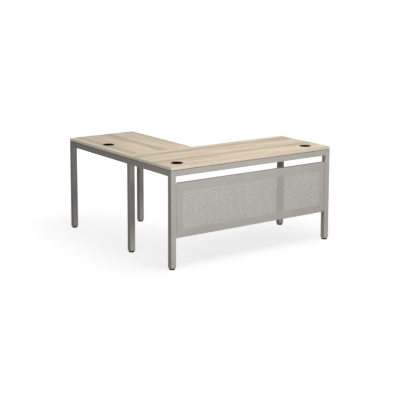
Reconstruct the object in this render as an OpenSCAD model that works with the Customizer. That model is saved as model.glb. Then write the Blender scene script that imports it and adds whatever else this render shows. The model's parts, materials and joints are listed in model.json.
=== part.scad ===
// L-shaped office desk: a main desk with a return on its left, both on one steel tube frame,
// with a perforated modesty panel between the front legs. Millimetres, +Z up.
// The origin lies on the floor, under the centre of the square that the desk fills.
// The visitor's side is -Y, and the return runs back along the left side.

/* [Desk] */
// Width of the main desk
desk_w = 1524; // [1200:0.1:1830]
// Depth of the main desk
main_d = 609.6; // [560:0.1:760]
// Width of the return
return_w = 609.6; // [500:0.1:700]
// Length of the return behind the main desk
return_l = 914.4; // [760:0.1:1220]
// Height of the worktops above the floor
desk_h = 762; // [710:0.1:780]

/* [Worktops] */
// Thickness of the worktops
top_t = 22.2; // [22:0.1:32]
// Thickness of the edging around each worktop
band_t = 3; // [2:0.1:4]
// Rounding along the upper and lower arris of the edging
band_r = 1.5; // [0.5:0.1:1.5]
// Radius of the worktops' corners in plan
corner_r = 5; // [4.5:0.1:8]
// Thickness of the spacer strips between the frame and the worktops
spacer_t = 3.2; // [2:0.1:5]
// Width of the spacer strips
spacer_w = 25; // [15:0.5:30]
// Distance of the spacer strips from the outside of the frame
spacer_inset = 2; // [1:0.5:10]

/* [Frame] */
// Side of the square tube
tube = 44.45; // [40:0.05:50]
// Wall of the square tube
tube_wall = 2; // [1.5:0.1:2.5]
// Outer corner radius of the square tube
tube_r = 4; // [3:0.1:5]
// Distance of the return's inner leg from the return's far end
inner_leg_inset = 139.7; // [70:0.1:200]

/* [Frame joints] */
// Length of the spigot that each rail end slides over
spigot_l = 45; // [40:1:60]
// Wall of the spigot
spigot_wall = 4; // [3:0.1:6]
// Gap all round between a tube's inside and what fits in it
insert_gap = 0.2; // [0.1:0.05:0.3]
// Shank diameter of the frame bolts
bolt_d = 6; // [5:0.1:8]
// Head diameter of the frame bolts
bolt_head_d = 11; // [10:0.1:13]
// Head height of the frame bolts
bolt_head_h = 3.2; // [2.5:0.1:4]
// Length of the frame bolts' shank beyond what they clamp
bolt_tip = 3; // [2:0.1:5]
// Distance of the first bolt from the end of a rail
bolt_end = 14; // [10:0.5:16]
// Distance between the two bolts of a rail end
bolt_step = 20; // [16:0.5:22]
// Thickness of the plate on the inset leg and of the plates on the other legs
plate_t = 4; // [3:0.1:6]
// Length of the plate on the inset leg
leg_plate_l = 112; // [100:1:140]
// Distance of a plate bolt from the end of the plate
leg_plate_edge = 13; // [10:0.5:15]

/* [Worktop tabs] */
// Length of each leg of an angle tab
tab_leg = 28; // [22:0.5:35]
// Width of an angle tab
tab_w = 30; // [20:1:50]
// Thickness of an angle tab
tab_t = 2.5; // [2:0.1:4]
// Distance of an end tab from the end of its worktop
tab_end = 215; // [190:1:250]
// Shank diameter of the worktop screws
screw_d = 4.2; // [3.5:0.1:5]
// Head diameter of the worktop screws
screw_head_d = 8.4; // [7:0.1:10]
// Head height of the worktop screws
screw_head_h = 2.6; // [2:0.1:3.5]
// Depth of a worktop screw in the worktop
screw_grip = 15; // [10:0.5:18]

/* [Modesty panel] */
// Height of the panel
panel_h = 407.5; // [300:0.5:440]
// Gap between the front rail and the panel
panel_drop = 51.5; // [25:0.5:80]
// Distance of the panel's face behind the front of the legs
panel_recess = 3; // [1:0.1:8]
// Gap between the panel's sides and the legs, which holds the washers
panel_gap = 1.5; // [1:0.1:3]
// Thickness of the panel's sheet
sheet_t = 1.25; // [1:0.25:2]
// Outer radius of the panel's bends
bend_r = 4; // [3:0.1:6]
// Depth of the panel over its returned flanges
flange_d = 27; // [24:0.5:32]
// Cut-back of the flanges at the panel's corners
corner_relief = 2; // [1:0.1:4]
// Plain margin at each side of the perforated field
field_side = 51; // [40:1:120]
// Plain margin under the perforated field
field_low = 57; // [40:1:90]
// Plain margin over the perforated field
field_high = 61; // [40:1:90]
// Period of the staggered hole pattern
hole_pitch = 31; // [28:0.5:60]
// Diameter of the perforations
hole_d = 11; // [6:0.1:14]
// Shank diameter of the panel screws
panel_screw_d = 5; // [4:0.1:6]
// Head diameter of the panel screws
panel_head_d = 9; // [8:0.1:11]
// Head height of the panel screws
panel_head_h = 2.5; // [2:0.1:4]
// Diameter of the washers between the panel and the legs
washer_d = 13; // [11:0.1:16]
// Distance of the outer panel screws from the panel's upper and lower edge
panel_screw_edge = 55; // [40:1:90]

/* [Levelling feet] */
// Height of a foot under its leg
foot_h = 12.7; // [10:0.1:20]
// Diameter of a foot
foot_d = 44; // [30:0.5:44]
// Height of a foot's straight rim
foot_rim_h = 9; // [7:0.1:9.4]
// Diameter of a foot's top
foot_top_d = 36; // [26:0.5:40]
// Rounding of a foot's lower edge
foot_round = 2; // [1:0.1:3]
// Thickness of a foot under its stem
foot_floor = 4.2; // [3:0.1:5]
// Diameter of a foot's threaded stem
stem_d = 10; // [8:0.1:12]
// Length of the stem above the foot
stem_l = 38; // [34:0.5:50]
// Height of the threaded insert in the end of a leg
insert_h = 24; // [18:0.5:30]
// Gap between a foot and its leg when it is screwed right in
foot_gap = 0.3; // [0.2:0.05:0.5]

/* [Grommets] */
// Distance of the left grommet from the main desk's left end
left_grommet_in = 135; // [110:0.1:180]
// Distance of the right grommet from the main desk's right end
right_grommet_in = 153; // [110:0.1:180]
// Distance of the main desk's grommets from its front edge
grommet_front = 125; // [110:0.1:200]
// Distance of the return's grommet from the outer side
grommet_outer = 108; // [100:0.1:300]
// Distance of the return's grommet from the far end
grommet_far = 456; // [300:0.1:500]
// Diameter of a grommet's flange
grommet_d = 92; // [88:0.1:100]
// Diameter of a grommet's sleeve
sleeve_d = 80; // [74:0.1:84]
// Wall of a grommet's sleeve
sleeve_wall = 2.5; // [2:0.1:3]
// Depth of a grommet's sleeve in the worktop
sleeve_h = 20; // [15:0.1:22]
// Height of a grommet's flange over the worktop
grommet_lip = 2; // [1.5:0.1:3]
// Rounding of the flange's rim
lip_r = 1.5; // [0.5:0.1:1.5]
// Width and thickness of the ledge that the cap rests on
ledge = 3; // [2:0.1:4]
// Thickness of a cap
cap_t = 3; // [2.5:0.1:4]
// Depth of the skirt under a cap
skirt_h = 7; // [5:0.1:10]
// Wall of the skirt under a cap
skirt_wall = 2; // [1.5:0.1:2.5]
// Width of the cable notch in a cap
notch_w = 17; // [14:0.1:20]
// Depth of the cable notch from the rim of a cap
notch_l = 19; // [16:0.1:22]

/* [Clearances] */
// Radial clearance of a thread that holds, as plain cylinders
thread_gap = 0.05; // [0.02:0.01:0.08]
// Radial clearance of a bolt or screw in a through hole
hole_gap = 0.25; // [0.15:0.05:0.3]
// Radial clearance of a cap in its liner
cap_gap = 0.3; // [0.3:0.05:0.5]
// Gap under a cap on its ledge
cap_rest = 0.1; // [0.05:0.05:0.2]
// Radial clearance of a grommet's sleeve in the worktop
sleeve_gap = 0.25; // [0.1:0.05:0.5]

/* [Hidden] */
$fn = 48;

steel = [0.66, 0.65, 0.62];
hidden_steel = [0.55, 0.55, 0.56];
oak = [0.83, 0.76, 0.66];
oak_edge = [0.78, 0.70, 0.60];
black = [0.06, 0.06, 0.06];

// How far a cutter passes a face
past = 1;
// Width of a head's hexagon socket as a share of the head
hex_share = 0.55;

// Outer lines of the desk in plan, and levels
left = -desk_w / 2;
right = desk_w / 2;
front = -(main_d + return_l) / 2;
far = (main_d + return_l) / 2;
seam = front + main_d;
inner = left + return_w;
under_top = desk_h - top_t;
frame_top = under_top - spacer_t;
half = tube / 2;
rail_z = frame_top - half;
rail_bottom = frame_top - tube;

// Centres of the six legs
front_left_at = [left + half, front + half];
front_right_at = [right - half, front + half];
back_left_at = [left + half, seam - half];
back_right_at = [right - half, seam - half];
return_outer_at = [left + half, far - half];
return_inner_at = [inner - half, far - inner_leg_inset - half];
tall_legs = [front_left_at, front_right_at, back_left_at, back_right_at, return_outer_at];
all_legs = concat(tall_legs, [return_inner_at]);

// Each rail: start, turn about Z, length, and whether a spigot holds its start and its end.
// A rail runs along its own +X, and its own +Y faces the space under the desk.
front_rail_at = [left + tube, front + half, 0, desk_w - 2 * tube, true, true];
back_rail_at = [right - tube, seam - half, 180, desk_w - 2 * tube, true, true];
left_rail_at = [left + half, seam - tube, -90, main_d - 2 * tube, true, true];
right_rail_at = [right - half, front + tube, 90, main_d - 2 * tube, true, true];
outer_rail_at = [left + half, far - tube, -90, return_l - tube, true, true];
far_rail_at = [inner, far - half, 180, return_w - tube, false, true];
inner_rail_at = [inner - half, seam, 90, return_l, true, false];
all_rails = [front_rail_at, back_rail_at, left_rail_at, right_rail_at,
             outer_rail_at, far_rail_at, inner_rail_at];

// What fits inside the tube
insert_w = tube - 2 * (tube_wall + insert_gap);
insert_r = tube_r - tube_wall - insert_gap;

// Bolts of a rail end, counted from the end
bolt_places = [bolt_end, bolt_end + bolt_step];
rail_bolt_l = tube_wall + insert_gap + spigot_wall + bolt_tip;
plate_bolt_l = plate_t + tube_wall + bolt_tip;
plate_bolt_y = leg_plate_l / 2 - leg_plate_edge;

// Angle tabs of each worktop: place at the rail's face, and turn about Z of the way they point
main_tabs = [
    for (x = [left + tab_end, 0, right - tab_end]) [x, front + tube, 0],
    for (x = [left + tab_end, 0, right - tab_end]) [x, seam - tube, 180],
    [left + tube, front + main_d / 2, -90],
    [right - tube, front + main_d / 2, 90]
];
return_tabs = [
    for (x = [left + tab_end, inner - tab_end]) [x, seam, 0],
    for (y = [seam + tab_end, far - tab_end]) [left + tube, y, -90],
    for (y = [seam + tab_end, far - tab_end]) [inner - tube, y, 90],
    [left + return_w / 2, far - tube, 180]
];
tab_screw_y = tab_t + (tab_leg - tab_t) / 2;

// Modesty panel: lower left corner of its face, width, and screws along its flanges
panel_x = left + tube + panel_gap;
panel_w = desk_w - 2 * (tube + panel_gap);
panel_top = rail_bottom - panel_drop;
panel_z = panel_top - panel_h;
panel_y = front + panel_recess;
panel_screw_y = panel_y + (bend_r + flange_d) / 2;
panel_screw_z = [panel_z + panel_screw_edge, panel_z + panel_h / 2,
                 panel_top - panel_screw_edge];
panel_screw_l = sheet_t + panel_gap + tube_wall + bolt_tip;

// Where the panel's flat face ends, half way into a corner's relief, and how far the strips
// of its flanges run on from their bends, past that edge
face_edge = bend_r + corner_relief / 2;
face_lap = 1.5 * corner_relief;

// Whole periods of the pattern that fit in the field, centred in it
field_w = panel_w - 2 * field_side;
field_h = panel_h - field_low - field_high;
hole_columns = floor(field_w / hole_pitch);
hole_rows = floor(field_h / hole_pitch);
field_x = field_side + (field_w - hole_columns * hole_pitch) / 2;
field_z = field_low + (field_h - hole_rows * hole_pitch) / 2;

// Grommet centres, and the side of each cap that its notch is on
left_grommet_at = [left + left_grommet_in, front + grommet_front];
right_grommet_at = [right - right_grommet_in, front + grommet_front];
return_grommet_at = [left + grommet_outer, far - grommet_far];
main_notch_turn = 0;
return_notch_turn = -90;
bore_r = sleeve_d / 2 - sleeve_wall;
cap_r = bore_r - cap_gap;
skirt_r = bore_r - ledge - cap_gap;
ledge_z = grommet_lip - cap_t - cap_rest;

// Square with round corners, centred
module round_square(side, r) {
    union() {
        square([side, side - 2 * r], center = true);
        square([side - 2 * r, side], center = true);
        for (x = [-1, 1], y = [-1, 1])
            translate([x * (side / 2 - r), y * (side / 2 - r)])
                circle(r = r);
    }
}

// Rectangle with round corners, from [0, 0]
module round_rect(w, d, r) {
    union() {
        translate([r, 0])
            square([w - 2 * r, d]);
        translate([0, r])
            square([w, d - 2 * r]);
        for (x = [r, w - r], y = [r, d - r])
            translate([x, y])
                circle(r = r);
    }
}

// Section of the square tube
module tube_section() {
    difference() {
        round_square(tube, tube_r);
        round_square(tube - 2 * tube_wall, tube_r - tube_wall);
    }
}

// Bolt or screw along -Z, its head on top of z = 0, with a hexagon socket
module bolt(d, head_d, head_h, length) {
    difference() {
        union() {
            cylinder(d = head_d, h = head_h);
            translate([0, 0, -length])
                cylinder(d = d, h = length + head_h / 2);
        }
        translate([0, 0, head_h / 2])
            cylinder(d = head_d * hex_share, h = head_h, $fn = 6);
    }
}

// Worktop board: w x d from [0, 0], inside its edging
module board(w, d, grommets, tabs, corner) {
    difference() {
        translate([corner.x, corner.y, under_top])
            linear_extrude(top_t)
                translate([band_t, band_t])
                    round_rect(w - 2 * band_t, d - 2 * band_t, corner_r - band_t);
        for (g = grommets)
            translate([g.x, g.y, under_top - past])
                cylinder(r = sleeve_d / 2 + sleeve_gap, h = top_t + 2 * past);
        for (t = tabs)
            at_tab(t)
                translate([0, tab_screw_y, -past])
                    cylinder(r = screw_d / 2 + thread_gap, h = screw_grip + past + tab_t);
    }
}

// Section of the edging, outer face at x = band_t
module band_section() {
    union() {
        square([band_t - band_r, top_t]);
        translate([0, band_r])
            square([band_t, top_t - 2 * band_r]);
        for (z = [band_r, top_t - band_r])
            translate([band_t - band_r, z])
                circle(r = band_r);
    }
}

// Edging around a worktop of w x d from [0, 0], one strip bent round the corners
module edging(w, d) {
    corners = [[w, d, 0], [0, d, 90], [0, 0, 180], [w, 0, 270]];
    translate([0, 0, under_top])
        union()
            for (c = corners)
                translate([c[0], c[1], 0])
                    rotate(c[2]) {
                        edging_corner();
                        edging_run(c[2] % 180 == 0 ? d : w);
                    }
}

module edging_corner() {
    translate([-corner_r, -corner_r, 0])
        rotate_extrude(angle = 90)
            translate([corner_r - band_t, 0])
                band_section();
}

module edging_run(length) {
    translate([-band_t, -corner_r, 0])
        rotate([90, 0, 0])
            linear_extrude(length - 2 * corner_r)
                band_section();
}

// Strip along the rails under the main top, one closed ring
module main_spacer() {
    inner_inset = spacer_inset + spacer_w;
    color(black)
        translate([left, front, frame_top])
            linear_extrude(spacer_t)
                difference() {
                    translate([spacer_inset, spacer_inset])
                        square([desk_w - 2 * spacer_inset, main_d - 2 * spacer_inset]);
                    translate([inner_inset, inner_inset])
                        square([desk_w - 2 * inner_inset, main_d - 2 * inner_inset]);
                }
}

// Strip along the return's three rails
module return_spacer() {
    inner_inset = spacer_inset + spacer_w;
    color(black)
        translate([left, seam, frame_top])
            linear_extrude(spacer_t)
                difference() {
                    translate([spacer_inset, 0])
                        square([return_w - 2 * spacer_inset, return_l - spacer_inset]);
                    translate([inner_inset, -past])
                        square([return_w - 2 * inner_inset, return_l - inner_inset + past]);
                }
}

module at_rail(r) {
    translate([r[0], r[1], rail_z])
        rotate(r[2])
            children();
}

// Both held ends of a rail, each with +X pointing into the rail
module rail_ends(r) {
    if (r[4])
        children();
    if (r[5])
        translate([r[3], 0, 0])
            mirror([1, 0, 0])
                children();
}

module at_end_bolts(y) {
    for (x = bolt_places)
        translate([x, y, 0])
            rotate([-90, 0, 0])
                children();
}

module rail(r) {
    color(steel)
        at_rail(r)
            difference() {
                rotate([90, 0, 90])
                    linear_extrude(r[3])
                        tube_section();
                rail_ends(r)
                    at_end_bolts(half - tube_wall - past)
                        cylinder(r = bolt_d / 2 + hole_gap, h = tube_wall + 2 * past);
                children();
            }
}

// Half space beyond the mitre at the return's free corner, along a rail's own +X
module mitre_cutter() {
    translate([0, 0, -tube])
        linear_extrude(2 * tube)
            polygon([[past, -half - past], [-tube - past, half + past], [past, half + past]]);
}

module spigot() {
    rotate([90, 0, 90])
        linear_extrude(spigot_l)
            difference() {
                round_square(insert_w, insert_r);
                square(insert_w - 2 * spigot_wall, center = true);
            }
}

module rail_spigots() {
    color(hidden_steel)
        for (r = all_rails)
            at_rail(r)
                rail_ends(r)
                    difference() {
                        spigot();
                        at_end_bolts(insert_w / 2 - spigot_wall - past)
                            cylinder(r = bolt_d / 2 + thread_gap, h = spigot_wall + 2 * past);
                    }
}

module rail_bolts() {
    color(hidden_steel)
        for (r = all_rails)
            at_rail(r)
                rail_ends(r)
                    at_end_bolts(half)
                        bolt(bolt_d, bolt_head_d, bolt_head_h, rail_bolt_l);
}

module leg(at, top) {
    color(steel)
        translate([at.x, at.y, foot_h])
            linear_extrude(top - foot_h)
                tube_section();
}

// A front leg, drilled on the side that the panel is screwed to: side is 1 for +X, -1 for -X
module drilled_leg(at, side) {
    color(steel)
        difference() {
            leg(at, frame_top);
            for (z = panel_screw_z)
                translate([at.x + side * (half - tube_wall / 2), panel_screw_y, z])
                    rotate([0, 90, 0])
                        cylinder(r = panel_screw_d / 2 + thread_gap, h = tube_wall + past,
                                 center = true);
        }
}

module leg_top_plates() {
    color(hidden_steel)
        for (at = tall_legs)
            translate([at.x, at.y, frame_top - plate_t])
                linear_extrude(plate_t)
                    round_square(insert_w, insert_r);
}

module leg_inserts() {
    color(hidden_steel)
        for (at = all_legs)
            translate([at.x, at.y, foot_h])
                difference() {
                    linear_extrude(insert_h)
                        round_square(insert_w, insert_r);
                    translate([0, 0, -past])
                        cylinder(r = stem_d / 2 + thread_gap, h = insert_h + 2 * past);
                }
}

module at_plate_bolts() {
    for (y = [-plate_bolt_y, plate_bolt_y])
        translate([return_inner_at.x, return_inner_at.y + y, 0])
            children();
}

module inner_leg_plate() {
    color(steel)
        difference() {
            translate([return_inner_at.x - half, return_inner_at.y - leg_plate_l / 2,
                       rail_bottom - plate_t])
                cube([tube, leg_plate_l, plate_t]);
            at_plate_bolts()
                translate([0, 0, rail_bottom - plate_t - past])
                    cylinder(r = bolt_d / 2 + hole_gap, h = plate_t + 2 * past);
        }
}

module leg_plate_bolts() {
    color(hidden_steel)
        at_plate_bolts()
            translate([0, 0, rail_bottom - plate_t])
                rotate([180, 0, 0])
                    bolt(bolt_d, bolt_head_d, bolt_head_h, plate_bolt_l);
}

module return_inner_rail() {
    plate_x = return_inner_at.y - seam;
    rail(inner_rail_at) {
        translate([return_l, 0, 0])
            mitre_cutter();
        for (x = [plate_x - plate_bolt_y, plate_x + plate_bolt_y])
            translate([x, 0, -half - past])
                cylinder(r = bolt_d / 2 + thread_gap, h = tube_wall + 2 * past);
    }
}

module return_far_rail() {
    rail(far_rail_at)
        mirror([1, 0, 0])
            mitre_cutter();
}

module at_tab(t) {
    translate([t[0], t[1], under_top])
        rotate(t[2])
            children();
}

// Angle welded to a rail's face, its upper leg flat under the worktop
module tab() {
    difference() {
        translate([-tab_w / 2, 0, -tab_leg])
            cube([tab_w, tab_leg, tab_leg]);
        translate([-tab_w / 2 - past, tab_t, -tab_leg - past])
            cube([tab_w + 2 * past, tab_leg, tab_leg + past - tab_t]);
        translate([0, tab_screw_y, -tab_t - past])
            cylinder(r = screw_d / 2 + hole_gap, h = tab_t + 2 * past);
    }
}

module worktop_tabs() {
    color(steel)
        for (t = concat(main_tabs, return_tabs))
            at_tab(t)
                tab();
}

module worktop_screws() {
    color(hidden_steel)
        for (t = concat(main_tabs, return_tabs))
            at_tab(t)
                translate([0, tab_screw_y, -tab_t])
                    rotate([180, 0, 0])
                        bolt(screw_d, screw_head_d, screw_head_h, screw_grip + tab_t);
}

// Bend and flange along one edge of the panel, from the outside in and from the face back.
// A strip runs on over the edge of the flat face.
module flange_section() {
    union() {
        translate([bend_r, 0])
            square([face_lap, sheet_t]);
        intersection() {
            translate([bend_r, bend_r])
                difference() {
                    circle(r = bend_r);
                    circle(r = bend_r - sheet_t);
                }
            square(bend_r);
        }
        translate([0, bend_r])
            square([sheet_t, flange_d - bend_r]);
    }
}

module side_flange(height) {
    difference() {
        linear_extrude(height)
            flange_section();
        children();
    }
}

module panel_face() {
    rotate([90, 0, 0])
        mirror([0, 0, 1])
            linear_extrude(sheet_t)
                difference() {
                    translate([face_edge, face_edge])
                        square([panel_w - 2 * face_edge, panel_h - 2 * face_edge]);
                    for (i = [0 : hole_columns - 1], k = [0 : hole_rows - 1], s = [0.25, 0.75])
                        translate([field_x + (i + s) * hole_pitch, field_z + (k + s) * hole_pitch])
                            circle(d = hole_d);
                }
}

module modesty_panel() {
    cut = bend_r + corner_relief;
    color(steel)
        translate([panel_x, panel_y, panel_z])
            union() {
                panel_face();
                for (side = [0, 1])
                    translate([side * panel_w, 0, 0])
                        mirror([side, 0, 0])
                            translate([0, 0, cut])
                                side_flange(panel_h - 2 * cut)
                                    for (z = panel_screw_z)
                                        translate([-past, panel_screw_y - panel_y,
                                                   z - panel_z - cut])
                                            rotate([0, 90, 0])
                                                cylinder(r = panel_screw_d / 2 + hole_gap,
                                                         h = sheet_t + 2 * past);
                for (side = [0, 1])
                    translate([0, 0, side * panel_h])
                        mirror([0, 0, side])
                            translate([panel_w - cut, 0, 0])
                                rotate([0, -90, 0])
                                    linear_extrude(panel_w - 2 * cut)
                                        flange_section();
            }
}

// Both sides of the panel, each with +X pointing from the leg into the panel
module at_panel_sides() {
    for (side = [-1, 1])
        translate([side * (desk_w / 2 - tube), panel_screw_y, 0])
            mirror([(side + 1) / 2, 0, 0])
                for (z = panel_screw_z)
                    translate([0, 0, z])
                        rotate([0, 90, 0])
                            children();
}

module panel_screws() {
    color(hidden_steel)
        at_panel_sides()
            translate([0, 0, panel_gap + sheet_t])
                bolt(panel_screw_d, panel_head_d, panel_head_h, panel_screw_l);
}

module panel_washers() {
    color(black)
        at_panel_sides()
            difference() {
                cylinder(d = washer_d, h = panel_gap);
                translate([0, 0, -past])
                    cylinder(r = panel_screw_d / 2 + hole_gap, h = panel_gap + 2 * past);
            }
}

// Moulded foot, its top just under the leg, with the blind hole that holds the stem
module foot(at) {
    top = foot_h - foot_gap;
    color(black)
        translate([at.x, at.y, 0])
            difference() {
                rotate_extrude()
                    union() {
                        square([foot_d / 2 - foot_round, foot_rim_h]);
                        translate([0, foot_round])
                            square([foot_d / 2, foot_rim_h - foot_round]);
                        translate([foot_d / 2 - foot_round, foot_round])
                            circle(r = foot_round);
                        polygon([[0, foot_rim_h], [foot_d / 2, foot_rim_h],
                                 [foot_top_d / 2, top], [0, top]]);
                    }
                translate([0, 0, foot_floor])
                    cylinder(r = stem_d / 2 + thread_gap, h = foot_h);
            }
}

module stem(at) {
    color(hidden_steel)
        translate([at.x, at.y, foot_floor])
            cylinder(d = stem_d, h = foot_h - foot_floor + stem_l);
}

// Liner: flange on the worktop, sleeve through it, and the ledge for the cap
module liner(at) {
    color(black)
        translate([at.x, at.y, desk_h])
            rotate_extrude()
                union() {
                    translate([bore_r, -sleeve_h])
                        square([sleeve_wall, sleeve_h + grommet_lip]);
                    translate([bore_r, 0])
                        square([grommet_d / 2 - bore_r - lip_r, grommet_lip]);
                    translate([bore_r, 0])
                        square([grommet_d / 2 - bore_r, grommet_lip - lip_r]);
                    translate([grommet_d / 2 - lip_r, grommet_lip - lip_r])
                        intersection() {
                            circle(r = lip_r);
                            square(lip_r);
                        }
                    translate([bore_r - ledge, ledge_z - ledge])
                        square([ledge + sleeve_wall / 2, ledge]);
                }
}

// Cap: disc with a skirt, and a cable notch through both; turn sets the side of the notch
module cap(at, turn) {
    color(black)
        translate([at.x, at.y, desk_h + ledge_z + cap_rest])
            rotate(turn)
                difference() {
                    union() {
                        cylinder(r = cap_r, h = cap_t);
                        translate([0, 0, -skirt_h])
                            difference() {
                                cylinder(r = skirt_r, h = skirt_h + cap_t / 2);
                                translate([0, 0, -past])
                                    cylinder(r = skirt_r - skirt_wall, h = skirt_h + past);
                            }
                    }
                    translate([0, 0, -skirt_h - past])
                        linear_extrude(skirt_h + cap_t + 2 * past)
                            union() {
                                translate([-notch_w / 2, cap_r - notch_l + notch_w / 2])
                                    square([notch_w, notch_l]);
                                translate([0, cap_r - notch_l + notch_w / 2])
                                    circle(d = notch_w);
                            }
                }
}

module main_top() {
    color(oak)
        board(desk_w, main_d, [left_grommet_at, right_grommet_at], main_tabs, [left, front]);
}

module return_top() {
    color(oak)
        board(return_w, return_l, [return_grommet_at], return_tabs, [left, seam]);
}

module main_top_edging() {
    color(oak_edge)
        translate([left, front, 0])
            edging(desk_w, main_d);
}

module return_top_edging() {
    color(oak_edge)
        translate([left, seam, 0])
            edging(return_w, return_l);
}

main_top();
main_top_edging();
return_top();
return_top_edging();
main_spacer();
return_spacer();
drilled_leg(front_left_at, 1);  // front_left_leg
drilled_leg(front_right_at, -1);  // front_right_leg
leg(back_left_at, frame_top);  // back_left_leg
leg(back_right_at, frame_top);  // back_right_leg
leg(return_outer_at, frame_top);  // return_outer_leg
leg(return_inner_at, rail_bottom - plate_t);  // return_inner_leg
rail(front_rail_at);  // front_rail
rail(back_rail_at);  // back_rail
rail(left_rail_at);  // left_rail
rail(right_rail_at);  // right_rail
rail(outer_rail_at);  // return_outer_rail
return_far_rail();
return_inner_rail();
inner_leg_plate();
modesty_panel();
rail_spigots();
rail_bolts();
leg_plate_bolts();
leg_top_plates();
leg_inserts();
worktop_tabs();
worktop_screws();
panel_screws();
panel_washers();
foot(front_left_at);  // front_left_foot
foot(front_right_at);  // front_right_foot
foot(back_left_at);  // back_left_foot
foot(back_right_at);  // back_right_foot
foot(return_outer_at);  // return_outer_foot
foot(return_inner_at);  // return_inner_foot
stem(front_left_at);  // front_left_stem
stem(front_right_at);  // front_right_stem
stem(back_left_at);  // back_left_stem
stem(back_right_at);  // back_right_stem
stem(return_outer_at);  // return_outer_stem
stem(return_inner_at);  // return_inner_stem
liner(left_grommet_at);  // left_grommet_liner
liner(right_grommet_at);  // right_grommet_liner
liner(return_grommet_at);  // return_grommet_liner
cap(left_grommet_at, main_notch_turn);  // left_grommet_cap
cap(right_grommet_at, main_notch_turn);  // right_grommet_cap
cap(return_grommet_at, return_notch_turn);  // return_grommet_cap
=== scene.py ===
"""Looks of the L-shaped desk. Metres, +Z up, the visitor's side is -Y, the return runs to +Y."""

import collections
import functools
import json
import math

import bpy
from mathutils import Matrix, Vector


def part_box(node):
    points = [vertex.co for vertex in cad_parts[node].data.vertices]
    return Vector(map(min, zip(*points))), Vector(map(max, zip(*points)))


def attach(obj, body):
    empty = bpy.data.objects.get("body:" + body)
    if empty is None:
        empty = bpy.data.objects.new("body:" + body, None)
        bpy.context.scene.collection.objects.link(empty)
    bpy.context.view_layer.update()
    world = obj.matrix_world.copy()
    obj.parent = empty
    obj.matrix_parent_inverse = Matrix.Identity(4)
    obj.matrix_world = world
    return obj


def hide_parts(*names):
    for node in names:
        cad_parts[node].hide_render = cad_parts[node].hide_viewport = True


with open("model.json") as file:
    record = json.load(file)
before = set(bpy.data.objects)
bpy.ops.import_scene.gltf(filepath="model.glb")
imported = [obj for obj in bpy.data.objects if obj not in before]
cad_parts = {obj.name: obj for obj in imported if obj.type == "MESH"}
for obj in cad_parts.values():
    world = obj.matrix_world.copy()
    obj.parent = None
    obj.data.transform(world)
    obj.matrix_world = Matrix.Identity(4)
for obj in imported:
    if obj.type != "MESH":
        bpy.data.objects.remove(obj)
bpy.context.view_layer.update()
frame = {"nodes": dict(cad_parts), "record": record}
nodes = frame["nodes"]

FEET = ["front_left", "front_right", "back_left", "back_right", "return_outer", "return_inner"]


# Tools for materials

def rgb(red, green, blue):
    """A colour as seen on a screen, 0 to 255, as Blender's linear values."""
    def linear(v):
        v /= 255
        return v / 12.92 if v <= 0.04045 else ((v + 0.055) / 1.055) ** 2.4
    return (linear(red), linear(green), linear(blue), 1)


def grey(value):
    """The same linear value for red, green and blue."""
    return (value, value, value, 1)


class Surface:
    """A material in the making. Most methods add a node and give the output that has its result.

    add gives the node itself, and finish gives the material.
    """

    def __init__(self, name, metallic=0.0, specular=0.5):
        self.material = bpy.data.materials.new(name)
        self.material.use_nodes = True
        self.tree = self.material.node_tree
        self.shader = self.tree.nodes["Principled BSDF"]
        self.shader.inputs["Metallic"].default_value = metallic
        self.shader.inputs["Specular IOR Level"].default_value = specular
        self.place = self.add("ShaderNodeTexCoord").outputs["Object"]

    def add(self, kind, inputs=(), **settings):
        node = self.tree.nodes.new(kind)
        for key, value in settings.items():
            setattr(node, key, value)
        for key, value in dict(inputs).items():
            self.put(node.inputs[key], value)
        return node

    def put(self, socket, value):
        if isinstance(value, bpy.types.NodeSocket):
            self.tree.links.new(value, socket)
        else:
            socket.default_value = value

    def stretched(self, scale, place):
        return self.add("ShaderNodeMapping", {"Vector": place, "Scale": scale}).outputs[0]

    def noise(self, place, scale=1.0, detail=2.0, roughness=0.5, distortion=0.0):
        return self.add("ShaderNodeTexNoise", {
            "Vector": place, "Scale": scale, "Detail": detail, "Roughness": roughness,
            "Distortion": distortion}).outputs["Fac"]

    def math(self, operation, a, b=0.0):
        return self.add("ShaderNodeMath", {0: a, 1: b}, operation=operation).outputs[0]

    def between(self, value, low, high, to_low=0.0, to_high=1.0):
        return self.add("ShaderNodeMapRange", {
            "Value": value, "From Min": low, "From Max": high, "To Min": to_low,
            "To Max": to_high}).outputs["Result"]

    def part(self, vector, axis):
        return self.add("ShaderNodeSeparateXYZ", {0: vector}).outputs[axis]

    def from_nearest(self, value, start, pitch):
        """How far value lies from the nearest of start, start + pitch, start + 2 pitch and so on."""
        pitches = self.math("DIVIDE", self.math("SUBTRACT", value, start), pitch)
        share = self.math("FRACT", self.math("ADD", pitches, 0.5))
        return self.math("MULTIPLY", self.math("SUBTRACT", share, 0.5), pitch)

    def mixed(self, factor, a, b):
        node = self.add("ShaderNodeMix", data_type="RGBA")
        for socket, value in zip((node.inputs[0], node.inputs[6], node.inputs[7]), (factor, a, b)):
            self.put(socket, value)
        return node.outputs[2]

    def bump(self, height, strength, distance):
        return self.add("ShaderNodeBump", {
            "Height": height, "Strength": strength, "Distance": distance}).outputs[0]

    def finish(self, colour, roughness, normal=None):
        self.put(self.shader.inputs["Base Color"], colour)
        self.put(self.shader.inputs["Roughness"], roughness)
        if normal:
            self.put(self.shader.inputs["Normal"], normal)
        return self.material


# Camera, lights and stage

# Fitted to edges and corners in the photograph. The yaw is from +Y towards +X and the pitch downwards,
# both in radians, like the roll.
CAMERA_PLACE = (-4.8212, -6.8719, 2.2422)
CAMERA_YAW = 0.6146
CAMERA_PITCH = 0.1534
CAMERA_ROLL = 0.0018
CAMERA_LENS = 94.009
CAMERA_SHIFT_Y = -0.2


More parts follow.
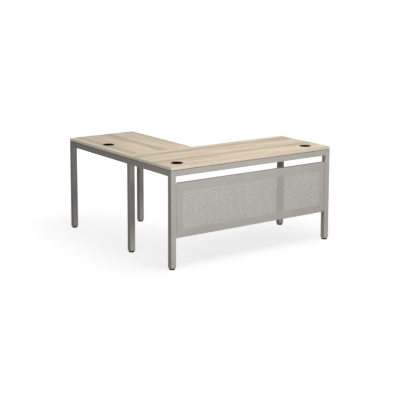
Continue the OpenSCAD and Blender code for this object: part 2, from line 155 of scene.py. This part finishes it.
def add_camera():
    """The camera, turned by its yaw, its pitch and its roll."""
    yaw, pitch, roll = CAMERA_YAW, CAMERA_PITCH, CAMERA_ROLL
    ahead = Vector((math.sin(yaw) * math.cos(pitch), math.cos(yaw) * math.cos(pitch),
                    -math.sin(pitch)))
    level = Vector((math.cos(yaw), -math.sin(yaw), 0))
    above = level.cross(ahead)
    right = math.cos(roll) * level + math.sin(roll) * above
    up = math.cos(roll) * above - math.sin(roll) * level
    data = bpy.data.cameras.new("camera")
    data.lens = CAMERA_LENS
    data.shift_y = CAMERA_SHIFT_Y
    camera = bpy.data.objects.new("camera", data)
    bpy.context.scene.collection.objects.link(camera)
    turn = Matrix((right, up, -ahead)).transposed().to_4x4()
    camera.matrix_world = Matrix.Translation(CAMERA_PLACE) @ turn
    bpy.context.scene.camera = camera


def add_soft_box(name, power, size, place, towards):
    """A square area light of this power in watts. It faces the way that towards points."""
    data = bpy.data.lights.new(name, "AREA")
    data.energy = power
    data.size = size
    light = bpy.data.objects.new(name, data)
    light.location = place
    light.rotation_mode = "QUATERNION"
    light.rotation_quaternion = Vector(towards).to_track_quat("-Z", "Y")
    bpy.context.scene.collection.objects.link(light)


# Height of the low soft boxes, about that of the worktops
LOW = 0.8


def add_lights():
    """Three soft boxes above the desk and four low ones round it, the strongest in front."""
    add_soft_box("over", 57, 2.4, (0.3, -0.9, 2.9), (0, 0.6, -2.3))
    add_soft_box("front", 71, 1.4, (0.3, -4.6, LOW), (0, 1, -0.08))
    add_soft_box("front_left", 23, 1.4, (-2.0, -4.2, LOW), (0.4, 1, -0.08))
    add_soft_box("left", 21, 1.6, (-3.0, -1.8, 2.0), (3.0, 1.8, -1.5))
    add_soft_box("back", 6, 2.0, (0.6, 3.2, 2.6), (-0.2, -1, -0.9))
    add_soft_box("rear", 42, 1.4, (0.6, 4.6, LOW), (-0.1, -1, -0.04))
    add_soft_box("right", 36, 1.4, (4.6, 0, LOW), (-1, 0.1, -0.04))


SEEN_RAYS = ["Is Camera Ray", "Is Glossy Ray", "Is Transmission Ray"]


def seen_ray(tree):
    """1 for the rays that show the background, 0 for the rays that light the object."""
    path = tree.nodes.new("ShaderNodeLightPath")
    total = path.outputs[SEEN_RAYS[0]]
    for name in SEEN_RAYS[1:]:
        add = tree.nodes.new("ShaderNodeMath")
        add.operation = "MAXIMUM"
        tree.links.new(total, add.inputs[0])
        tree.links.new(path.outputs[name], add.inputs[1])
        total = add.outputs[0]
    return total


def add_world():
    """A white background that doesn't light the desk."""
    world = bpy.data.worlds.new("studio")
    bpy.context.scene.world = world
    world.use_nodes = True
    tree = world.node_tree
    background = tree.nodes["Background"]
    background.inputs["Color"].default_value = (1, 1, 1, 1)
    tree.links.new(seen_ray(tree), background.inputs["Strength"])


# The floor: half its side, its grey for the light that reaches the desk and for the eye, and the
# level of its white
FLOOR_HALF = 60
FLOOR_BOUNCE = 0.20
FLOOR_SHOWN = 0.37
FLOOR_WHITE = 1.02

# How the lights fall on the bare floor: strongest at a place in front of the desk, and less with
# the distance from it
LIT_PLACE = (0.0, -1.43, 0.0)
LIT_RADIUS = 4.34
LIT_PEAK = 0.79


def add_floor():
    """White floor that keeps the desk's shadow: a grey surface plus a glow that only the eye sees.

    The glow makes up what the lights leave short of white on the bare floor, so only what the desk
    shades is grey.
    """
    mesh = bpy.data.meshes.new("floor")
    corners = [(-1, -1), (1, -1), (1, 1), (-1, 1)]
    mesh.from_pydata([(x * FLOOR_HALF, y * FLOOR_HALF, 0) for x, y in corners], [], [(0, 1, 2, 3)])
    floor = bpy.data.objects.new("floor", mesh)
    bpy.context.scene.collection.objects.link(floor)
    surface = Surface("floor_white", specular=0)
    seen = seen_ray(surface.tree)
    colour = surface.mixed(seen, grey(FLOOR_BOUNCE), grey(FLOOR_SHOWN))
    away = surface.add("ShaderNodeVectorMath", {0: surface.place, 1: LIT_PLACE},
                       operation="DISTANCE").outputs["Value"]
    spread = surface.math("POWER", surface.math("DIVIDE", away, LIT_RADIUS), 2)
    lit = surface.math("DIVIDE", FLOOR_SHOWN * LIT_PEAK,
                       surface.math("POWER", surface.math("ADD", spread, 1), 2))
    glow = surface.math("MULTIPLY", seen, surface.math("SUBTRACT", FLOOR_WHITE, lit))
    surface.shader.inputs["Emission Color"].default_value = (1, 1, 1, 1)
    surface.put(surface.shader.inputs["Emission Strength"], glow)
    mesh.materials.append(surface.finish(colour, 1.0))


# Materials

# Light, middle and dark tone of each oak surface. Both worktops are one laminate; the return's tones
# are painted light, lighter than the main top's to make up for light that falls short there
OAK_MAIN = rgb(225, 210, 186), rgb(207, 189, 161), rgb(180, 160, 131)
OAK_RETURN_PAINTED_LIGHT = rgb(234, 216, 188), rgb(214, 195, 163), rgb(186, 165, 132)
OAK_EDGE = rgb(222, 206, 181), rgb(215, 197, 168), rgb(197, 177, 143)
OAK_PORE = rgb(160, 141, 114)
BACKING = rgb(188, 180, 168), rgb(178, 169, 156)

# How often the wood's features come, per metre along the grain and across it
BANDS = (2.4, 15, 15)
WANDER = (0.9, 2.2, 2.2)
STREAKS = (1.6, 70, 70)
FIBRES = (14, 620, 620)
PORES = (38, 1500, 1500)
MARGIN_WANDER = (2.6, 5, 5)

# Growth lines: radians per metre across the grain, and by how many radians they wander
GROWTH_RATE = 240
GROWTH_SWAY = 60

# The laminate's printed boards: their width, and the margins along their joints, which are dark as
# far as the near distance, fade out at the far one, and sway
BOARD_W = 0.27
MARGIN_NEAR = 0.010
MARGIN_FAR = 0.052
MARGIN_SWAY = 0.06
MARGIN_SHADE = 0.9

# Where two boards meet: y on the main worktop, and -x on the return, whose grain is turned
MAIN_JOINT = -0.527
RETURN_JOINT = 0.417


def wood_figure(surface, place, tones):
    """Oak figure along the first axis of place: bands, growth lines, streaks, fibres and pores.

    Gives the colour, and the fibres and pores for the surface's relief.
    """
    light, mid, dark = tones
    bands = surface.noise(surface.stretched(BANDS, place), detail=2, distortion=0.4)
    colour = surface.mixed(surface.between(bands, 0.36, 0.62), mid, light)
    wander = surface.noise(surface.stretched(WANDER, place), detail=1)
    lines = surface.math("ADD", surface.math("MULTIPLY", surface.part(place, 1), GROWTH_RATE),
                         surface.math("MULTIPLY", wander, GROWTH_SWAY))
    growth = surface.math("SINE", lines)
    colour = surface.mixed(surface.between(growth, 0.1, 1.0, 0, 0.20), colour, dark)
    streaks = surface.noise(surface.stretched(STREAKS, place), detail=4, roughness=0.62)
    colour = surface.mixed(surface.between(streaks, 0.50, 0.74, 0, 0.62), colour, dark)
    fibres = surface.noise(surface.stretched(FIBRES, place), detail=3, roughness=0.7)
    colour = surface.mixed(surface.between(fibres, 0.42, 0.70, 0, 0.22), colour, dark)
    pores = surface.noise(surface.stretched(PORES, place), detail=1)
    colour = surface.mixed(surface.between(pores, 0.66, 0.74, 0, 0.5), colour, OAK_PORE)
    return colour, fibres, pores


def board_margins(surface, place, joint, colour, dark):
    """Darkens the margins of the laminate's printed boards, which meet at joint and each board on."""
    away = surface.math("ABSOLUTE", surface.from_nearest(surface.part(place, 1), joint, BOARD_W))
    wander = surface.noise(surface.stretched(MARGIN_WANDER, place), detail=3)
    sway = surface.math("MULTIPLY", surface.math("SUBTRACT", wander, 0.5), MARGIN_SWAY)
    away = surface.math("ADD", away, sway)
    margin = surface.between(away, MARGIN_NEAR, MARGIN_FAR, MARGIN_SHADE, 0)
    return surface.mixed(margin, colour, dark)


# How often the speckle of the sheet below comes, per metre, and the depth of the wood's relief
BACKING_SPECKLE = 260
GRAIN_DEPTH = 0.0002


def oak_top(name, tones, joint, turned=False):
    """Oak laminate on a worktop, grain along X, or along Y if turned, with a plain sheet below."""
    surface = Surface(name, specular=0.25)
    place = surface.place
    if turned:
        place = surface.add("ShaderNodeVectorRotate", {"Vector": place, "Angle": -math.pi / 2},
                            rotation_type="Z_AXIS").outputs[0]
    colour, fibres, pores = wood_figure(surface, place, tones)
    colour = board_margins(surface, place, joint, colour, tones[2])
    normal = surface.add("ShaderNodeNewGeometry").outputs["True Normal"]
    speckle = surface.noise(surface.place, BACKING_SPECKLE, detail=3)
    below = surface.mixed(surface.between(speckle, 0.35, 0.65), *BACKING)
    colour = surface.mixed(surface.between(surface.part(normal, 2), -0.6, -0.4), below, colour)
    grain = surface.math("SUBTRACT", fibres, surface.math("MULTIPLY", pores, 0.6))
    roughness = surface.between(fibres, 0.3, 0.7, 0.42, 0.56)
    return surface.finish(colour, roughness, surface.bump(grain, 0.12, GRAIN_DEPTH))


EDGING_COAT = 1.0
EDGING_COAT_ROUGHNESS = 0.2


def oak_edging():
    """Glossy wood-grain strip. It runs round the worktop, so x + y stands for the way along it."""
    surface = Surface("oak_edging", specular=1.0)
    surface.shader.inputs["Coat Weight"].default_value = EDGING_COAT
    surface.shader.inputs["Coat Roughness"].default_value = EDGING_COAT_ROUGHNESS
    x, y, z = (surface.part(surface.place, axis) for axis in range(3))
    along = surface.math("ADD", x, y)
    place = surface.add("ShaderNodeCombineXYZ", {0: along, 1: z, 2: z}).outputs[0]
    colour, fibres, _ = wood_figure(surface, place, OAK_EDGE)
    roughness = surface.between(fibres, 0.3, 0.7, 0.34, 0.44)
    return surface.finish(colour, roughness, surface.bump(fibres, 0.08, GRAIN_DEPTH))


FRAME_PAINT = rgb(182, 178, 171)
PANEL_PAINT = rgb(180, 176, 169)
FLAKE = rgb(222, 220, 214)
PAINTED_RIM_SHADE = rgb(96, 94, 90)
PAINT_DRIFT = 0.03

# How often the paint's features come, per metre, and the depth of its orange peel
DRIFTS = 5
FLAKES = 2600
PEEL = 620
DULL_PATCHES = 60
PEEL_DEPTH = 0.0003


def powder_coat(name, colour, with_hole_shade=False):
    """Satin powder coat with its fine orange peel, a slight tone drift and metal flake, and on the
    panel a painted shade round each hole.
    """
    surface = Surface(name, metallic=0.05, specular=0.15)
    darker = tuple(v * (1 - PAINT_DRIFT) for v in colour[:3]) + (1,)
    lighter = tuple(v * (1 + PAINT_DRIFT) for v in colour[:3]) + (1,)
    drift = surface.noise(surface.place, DRIFTS)
    tone = surface.mixed(surface.between(drift, 0.3, 0.7), darker, lighter)
    flake = surface.noise(surface.place, FLAKES, detail=1)
    tone = surface.mixed(surface.between(flake, 0.60, 0.72, 0, 0.35), tone, FLAKE)
    if with_hole_shade:
        # Painted shade: a darker ring round each hole stands in for the shade of the hole's walls
        tone = surface.mixed(painted_hole_shade(surface), tone, PAINTED_RIM_SHADE)
    dull = surface.noise(surface.place, DULL_PATCHES, detail=3)
    roughness = surface.between(dull, 0.3, 0.7, 0.46, 0.56)
    peel = surface.noise(surface.place, PEEL)
    return surface.finish(tone, roughness, surface.bump(peel, 0.07, PEEL_DEPTH))


def painted_hole_shade(surface):
    """1 at the rim of each hole, where darker paint stands in as painted shade of the hole's walls, and
    0 a little way from it.

    The staggered holes are two straight grids, the second one half a pitch across and up.
    """
    field = punched_field()
    x, z = surface.part(surface.place, 0), surface.part(surface.place, 2)
    nearest = 1.0
    for shift in (0, 1):
        off_x = surface.from_nearest(x, field.left + shift * field.step_x, 2 * field.step_x)
        off_z = surface.from_nearest(z, field.bottom + shift * field.step_z, 2 * field.step_z)
        squares = surface.math("ADD", surface.math("POWER", off_x, 2), surface.math("POWER", off_z, 2))
        nearest = surface.math("MINIMUM", surface.math("SQRT", squares), nearest)
    rim = surface.between(nearest, HOLE_R, HOLE_R + RIM_W, RIM_SHADE, 0)
    for value, low, high, step in ((x, field.left, field.right, field.step_x),
                                   (z, field.bottom, field.top, field.step_z)):
        off = surface.math("ABSOLUTE", surface.math("SUBTRACT", value, (low + high) / 2))
        inside = surface.math("LESS_THAN", off, (high - low - step) / 2)
        rim = surface.math("MULTIPLY", rim, inside)
    return rim


ZINC = rgb(168, 170, 172), rgb(206, 207, 205)
ZINC_STAIN = rgb(186, 178, 150)

# How often the spangle and the stains come, per metre, and the spangle's depth
SPANGLE = 90
STAINS = 22
SPANGLE_DEPTH = 0.0002


def zinc_plate():
    """Bright zinc on screws and hidden steel, with its faint spangle and dull patches."""
    surface = Surface("zinc_plate", metallic=1.0)
    spangle = surface.noise(surface.place, SPANGLE, detail=4, roughness=0.6)
    colour = surface.mixed(surface.between(spangle, 0.3, 0.7), *ZINC)
    stain = surface.noise(surface.place, STAINS, detail=3)
    colour = surface.mixed(surface.between(stain, 0.56, 0.72, 0, 0.3), colour, ZINC_STAIN)
    roughness = surface.between(spangle, 0.3, 0.7, 0.28, 0.46)
    return surface.finish(colour, roughness, surface.bump(spangle, 0.05, SPANGLE_DEPTH))


BLACK = rgb(14, 14, 15), rgb(24, 24, 25)

# How often rubbed patches and the mould's grain come, per metre, and the grain's depth
RUBS = 35
MOULD_GRAIN = 1700
MOULD_GRAIN_DEPTH = 0.0002


def black_moulding():
    """Black moulded plastic with a fine spark-eroded grain, slightly rubbed."""
    surface = Surface("black_moulding", specular=0)
    rub = surface.noise(surface.place, RUBS, detail=3, roughness=0.6)
    colour = surface.mixed(surface.between(rub, 0.35, 0.7), *BLACK)
    grain = surface.noise(surface.place, MOULD_GRAIN, roughness=0.6)
    roughness = surface.between(rub, 0.3, 0.7, 0.62, 0.78)
    return surface.finish(colour, roughness, surface.bump(grain, 0.22, MOULD_GRAIN_DEPTH))


# Pieces made here

# Edges that turn more than this, in degrees, stay sharp: on the panel, and on the round pieces
SHEET_SHARP = 25
ROUND_SHARP = 60


def new_piece(name, verts, faces, material, body, sharp_angle):
    """A mesh piece with its material and material slot. It moves with the body."""
    mesh = bpy.data.meshes.new(name)
    mesh.from_pydata(verts, [], faces)
    mesh.validate()
    piece = bpy.data.objects.new(name, mesh)
    bpy.context.scene.collection.objects.link(piece)
    mesh.materials.append(material)
    shade(mesh, sharp_angle)
    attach(piece, body)
    return piece


def shade(mesh, sharp_angle):
    mesh.shade_smooth()
    mesh.set_sharp_from_angle(angle=math.radians(sharp_angle))


def thicken(piece, thickness, sharp_angle):
    """Gives a single layer its thickness, away from its normals, as a real mesh."""
    solid = piece.modifiers.new("sheet", "SOLIDIFY")
    solid.thickness = thickness
    solid.offset = -1
    solid.use_even_offset = True
    graph = bpy.context.evaluated_depsgraph_get()
    mesh = bpy.data.meshes.new_from_object(piece.evaluated_get(graph))
    piece.modifiers.clear()
    piece.data = mesh
    shade(mesh, sharp_angle)


class Net:
    """Vertices and faces in the making, with points shared by place."""

    def __init__(self):
        self.verts = []
        self.faces = []
        self.known = {}

    def point(self, x, y, z):
        key = (round(x * 1e6), round(y * 1e6), round(z * 1e6))
        if key not in self.known:
            self.known[key] = len(self.verts)
            self.verts.append((x, y, z))
        return self.known[key]

    def face(self, corners):
        self.faces.append([self.point(*c) for c in corners])


# The panel's sheet: its thickness, the outer radius of its bends, and the cut at its corners
SHEET = 0.00125
BEND = 0.004
BEND_STEPS = 6
CORNER_CUT = 0.006

# Each hole, the width and depth of the edge that the punch draws in, and the painted shade round it:
# its width and how dark it gets
HOLE_R = 0.0028
HOLE_SIDES = 12
ROLLOVER_W = 0.0008
ROLLOVER_D = 0.0003
RIM_W = 0.0014
RIM_SHADE = 0.9

# The perforated field: its margins to the panel's edges, and its half pitches across and up
FIELD_SIDE = 0.051
FIELD_LOW = 0.057
FIELD_HIGH = 0.061
HOLE_COLUMNS = 124
HOLE_ROWS = 28

# Four ways across and up, anticlockwise as seen from outside: from the middle of a diamond to its
# corners, and along the panel's sides from its lower left corner
WAYS = [(1, 0), (0, 1), (-1, 0), (0, -1)]

Field = collections.namedtuple("Field", "left right bottom top step_x step_z")


@functools.cache
def punched_field():
    """The perforated field: its four borders, and half a pitch across and upwards."""
    low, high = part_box("modesty_panel")
    left, right = low.x + FIELD_SIDE, high.x - FIELD_SIDE
    bottom, top = low.z + FIELD_LOW, high.z - FIELD_HIGH
    return Field(left, right, bottom, top, (right - left) / HOLE_COLUMNS, (top - bottom) / HOLE_ROWS)


def field_point(i, k, y):
    """The place of half pitch i across and k up in the perforated field."""
    field = punched_field()
    return (field.left + i * field.step_x, y, field.bottom + k * field.step_z)


def perforate(net, y):
    """Staggered holes: each sits in a diamond whose corners are the half-pitch points around it."""
    for i in range(HOLE_COLUMNS + 1):
        for k in range(i % 2, HOLE_ROWS + 1, 2):
            if i in (0, HOLE_COLUMNS) or k in (0, HOLE_ROWS):
                net.face([field_point(*corner, y) for corner in cut_diamond(i, k)])
            else:
                perforate_diamond(net, i, k, y)


def cut_diamond(i, k):
    """Corners of a diamond on the field's border: what lies inside, and its middle in a corner."""
    in_corner = i in (0, HOLE_COLUMNS) and k in (0, HOLE_ROWS)
    corners = []
    for a, b in WAYS:
        if 0 <= i + a <= HOLE_COLUMNS and 0 <= k + b <= HOLE_ROWS:
            corners.append((i + a, k + b))
        elif in_corner and (i, k) not in corners:
            corners.append((i, k))
    return corners


def perforate_diamond(net, i, k, y):
    """One hole in its diamond, with the rim drawn in by the punch."""
    cx, _, cz = field_point(i, k, y)

    def ring(radius, depth, angles):
        return [(cx + radius * math.cos(t), y + depth, cz + radius * math.sin(t)) for t in angles]

    quarter = HOLE_SIDES // 4
    for q in range(4):
        (a, b), (c, d) = WAYS[q], WAYS[(q + 1) % 4]
        arc = [math.tau * (q * quarter + n) / HOLE_SIDES for n in range(quarter, -1, -1)]
        flat = ring(HOLE_R + ROLLOVER_W, 0, arc)
        rim = ring(HOLE_R, ROLLOVER_D, arc)
        net.face([field_point(i + a, k + b, y), field_point(i + c, k + d, y)] + flat)
        for n in range(quarter):
            net.face([flat[n + 1], flat[n], rim[n], rim[n + 1]])


def border_points(corner, way, count):
    """Half pitches along one side of the field where its outline has a point."""
    steps = [0, *range(1, count, 2), count]
    return [(corner[0] + way[0] * n, corner[1] + way[1] * n) for n in steps]


def fold_profile(depth):
    """Outline of a bend and flange: the way in from the panel's edge, and the depth behind its face."""
    turns = [math.pi / 2 * n / BEND_STEPS for n in range(BEND_STEPS + 1)]
    bend = [(BEND - BEND * math.sin(t), BEND - BEND * math.cos(t)) for t in turns]
    return bend + [(0, depth)]


def add_side(net, y, depth, corner, way, length, border):
    """Plain margin, bend and flange of the side that runs from corner along way."""
    def at(along, inward, behind=0):
        return (corner[0] + way[0] * along - way[1] * inward, y + behind,
                corner[1] + way[1] * along + way[0] * inward)

    first, last = CORNER_CUT, length - CORNER_CUT
    outline = [at(along, BEND) for along in (BEND, first, last, length - BEND)]
    net.face(outline + [field_point(*point, y) for point in border[::-1]])
    fold = fold_profile(depth)
    for near, far in zip(fold, fold[1:]):
        net.face([at(last, *near), at(first, *near), at(first, *far), at(last, *far)])


def perforated_sheet():
    """The modesty panel's outer skin: perforated field, plain margins, four returned flanges."""
    low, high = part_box("modesty_panel")
    corners = [(low.x, low.z), (high.x, low.z), (high.x, high.z), (low.x, high.z)]
    lengths = [high.x - low.x, high.z - low.z] * 2
    field_corners = [(0, 0), (HOLE_COLUMNS, 0), (HOLE_COLUMNS, HOLE_ROWS), (0, HOLE_ROWS)]
    counts = [HOLE_COLUMNS, HOLE_ROWS] * 2
    net = Net()
    perforate(net, low.y)
    for n, way in enumerate(WAYS):
        border = border_points(field_corners[n], way, counts[n])
        add_side(net, low.y, high.y - low.y, corners[n], way, lengths[n], border)
    return net


def add_modesty_panel(material):
    """The panel with its real holes, in place of the CAD's."""
    net = perforated_sheet()
    panel = new_piece("perforated_panel", net.verts, net.faces, material, "desk",
                      SHEET_SHARP)
    thicken(panel, SHEET, SHEET_SHARP)
    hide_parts("modesty_panel")


THREAD_PITCH = 0.0015
THREAD_SIDES = 16

# The thread's outline over one pitch: the share of the pitch, and of the crest's radius
THREAD_PROFILE = [(0.0, 0.83), (0.16, 0.83), (0.44, 1.0), (0.60, 1.0), (0.88, 0.83)]

# The crest stays a little inside the CAD stem, and the tip's chamfer starts at a share of it
CREST_SHARE = 0.995
TIP_SHARE = 0.72
TIP_SLOPE = 0.0045


def threaded_rod(low, high):
    """Metric thread from the low end to the high end, with a chamfered tip."""
    centre = (low + high) / 2
    crest = (high.x - low.x) / 2 * CREST_SHARE
    per_turn = len(THREAD_PROFILE)
    rows = int((high.z - low.z) / THREAD_PITCH) * per_turn
    verts, faces = [], []
    for n in range(rows):
        share, radius = THREAD_PROFILE[n % per_turn]
        base = low.z + (n // per_turn + share) * THREAD_PITCH
        for s in range(THREAD_SIDES):
            angle = math.tau * s / THREAD_SIDES
            z = min(base + THREAD_PITCH * s / THREAD_SIDES, high.z)
            taper = min(1, TIP_SHARE + max(0, high.z - z) / TIP_SLOPE)
            r = crest * min(radius, taper)
            verts.append((centre.x + r * math.cos(angle), centre.y + r * math.sin(angle), z))
    for n in range(rows):
        for s in range(THREAD_SIDES):
            a = n * THREAD_SIDES + s
            b = n * THREAD_SIDES + (s + 1) % THREAD_SIDES
            # The thread climbs a pitch in each turn, so the last side meets the row of the next turn
            if s + 1 == THREAD_SIDES:
                b += per_turn * THREAD_SIDES
            if max(a, b) + THREAD_SIDES < len(verts):
                faces.append((a, b, b + THREAD_SIDES, a + THREAD_SIDES))
    first = list(range(THREAD_SIDES))[::-1]
    last = list(range(len(verts) - THREAD_SIDES, len(verts)))
    return verts, faces + [first, last]


def add_stems(material):
    """The levelling feet's stems with their thread, in place of the CAD's plain ones."""
    for foot in FEET:
        node = foot + "_stem"
        verts, faces = threaded_rod(*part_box(node))
        stem = new_piece(foot + "_threaded_stem", verts, faces, material,
                         foot + "_levelling_foot", ROUND_SHARP)
        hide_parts(node)


# A weld bead: its radius, a ripple's length and swell, the share of the radius at its ends, and how
# fast it closes up to the full radius
BEAD_R = 0.0021
BEAD_RIPPLE = 0.0026
BEAD_SWELL = 0.13
BEAD_TIP = 0.35
BEAD_CLOSING = 1.5
BEAD_SIDES = 10
STEPS_PER_RIPPLE = 4


def weld_bead(start, end):
    """Rippled bead from start to end: a swept round that swells once per ripple."""
    start, end = Vector(start), Vector(end)
    run = end - start
    side = run.orthogonal().normalized()
    other = run.cross(side).normalized()
    steps = int(run.length / BEAD_RIPPLE * STEPS_PER_RIPPLE)
    verts, faces = [], []
    for n in range(steps + 1):
        t = n / steps
        swell = 1 + BEAD_SWELL * math.sin(math.tau * t * run.length / BEAD_RIPPLE)
        to_end = min(t, 1 - t) * run.length
        r = BEAD_R * swell * min(1, BEAD_TIP + BEAD_CLOSING * to_end / BEAD_R)
        for s in range(BEAD_SIDES):
            angle = math.tau * s / BEAD_SIDES
            verts.append(tuple(start + run * t + side * r * math.cos(angle)
                               + other * r * math.sin(angle)))
    for n in range(steps):
        for s in range(BEAD_SIDES):
            a = n * BEAD_SIDES + s
            b = n * BEAD_SIDES + (s + 1) % BEAD_SIDES
            faces.append((a, b, b + BEAD_SIDES, a + BEAD_SIDES))
    faces.append(tuple(range(BEAD_SIDES))[::-1])
    faces.append(tuple(range(steps * BEAD_SIDES, (steps + 1) * BEAD_SIDES)))
    return verts, faces


# The worktop tabs of the CAD: from a top's end to a tab, half its width, and its depth
TAB_END = 0.215
TAB_HALF = 0.015
TAB_LOW = 0.028

# The beads stop short of the tab's bend, of its lower end and of the inset leg's corners
BELOW_BEND = 0.0075
ABOVE_END = 0.002
CORNER_INSET = 0.004


def tab_places():
    """Middle of each worktop tab at its rail's face, and the way along the rail."""
    main_low, main_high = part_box("main_top_edging")
    back_low, back_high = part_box("return_top_edging")
    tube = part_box("left_rail")[1].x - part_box("left_rail")[0].x
    places = []
    for x in (main_low.x + TAB_END, 0, main_high.x - TAB_END):
        places += [((x, main_low.y + tube), (1, 0)), ((x, main_high.y - tube), (1, 0))]
    middle = (main_low.y + main_high.y) / 2
    places += [((main_low.x + tube, middle), (0, 1)), ((main_high.x - tube, middle), (0, 1))]
    for x in (back_low.x + TAB_END, back_high.x - TAB_END):
        places.append(((x, back_low.y), (1, 0)))
    for y in (back_low.y + TAB_END, back_high.y - TAB_END):
        places += [((back_low.x + tube, y), (0, 1)), ((back_high.x - tube, y), (0, 1))]
    middle = (back_low.x + back_high.x) / 2
    places.append(((middle, back_high.y - tube), (1, 0)))
    return places


def bead_runs():
    """Start and end of each bead: up both sides of every tab, and round the inset leg's top."""
    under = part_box("main_top")[0].z
    runs = []
    for (x, y), (ax, ay) in tab_places():
        for side in (-TAB_HALF, TAB_HALF):
            px, py = x + ax * side, y + ay * side
            runs.append(((px, py, under - BELOW_BEND), (px, py, under - TAB_LOW + ABOVE_END)))
    low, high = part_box("return_inner_leg")
    for x in (low.x, high.x):
        runs.append(((x, low.y + CORNER_INSET, high.z), (x, high.y - CORNER_INSET, high.z)))
    for y in (low.y, high.y):
        runs.append(((low.x + CORNER_INSET, y, high.z), (high.x - CORNER_INSET, y, high.z)))
    return runs


def add_weld_beads(material):
    """All beads, as one piece."""
    verts, faces = [], []
    for start, end in bead_runs():
        more_verts, more_faces = weld_bead(start, end)
        faces += [tuple(i + len(verts) for i in face) for face in more_faces]
        verts += more_verts
    new_piece("weld_beads", verts, faces, material, "desk", ROUND_SHARP)


# Materials on the CAD nodes, and the run itself

def dress(names, material):
    """Gives CAD nodes their material."""
    for name in names:
        data = nodes[name].data
        data.materials.clear()
        data.materials.append(material)


def named(slot):
    """The CAD nodes that the record gives this material slot."""
    return [part["node"] for part in frame["record"]["subparts"] if part["material_slot"] == slot]


def dress_all():
    """Every material on its CAD nodes, and the pieces made here with theirs."""
    frame_coat = powder_coat("frame_coat", FRAME_PAINT)
    panel_coat = powder_coat("panel_coat", PANEL_PAINT, with_hole_shade=True)
    zinc = zinc_plate()
    dress(["main_top"], oak_top("oak_main", OAK_MAIN, MAIN_JOINT))
    # The return takes the lighter copy of the oak: painted light
    dress(["return_top"], oak_top("oak_return_painted_light", OAK_RETURN_PAINTED_LIGHT, RETURN_JOINT, turned=True))
    dress(named("edging"), oak_edging())
    dress(named("frame_paint"), frame_coat)
    dress(named("panel_paint"), panel_coat)
    dress(named("zinc"), zinc)
    dress(named("black_plastic"), black_moulding())
    add_modesty_panel(panel_coat)
    add_stems(zinc)
    add_weld_beads(frame_coat)


bpy.context.scene.view_settings.view_transform = "Standard"
add_camera()
add_lights()
add_world()
add_floor()
dress_all()
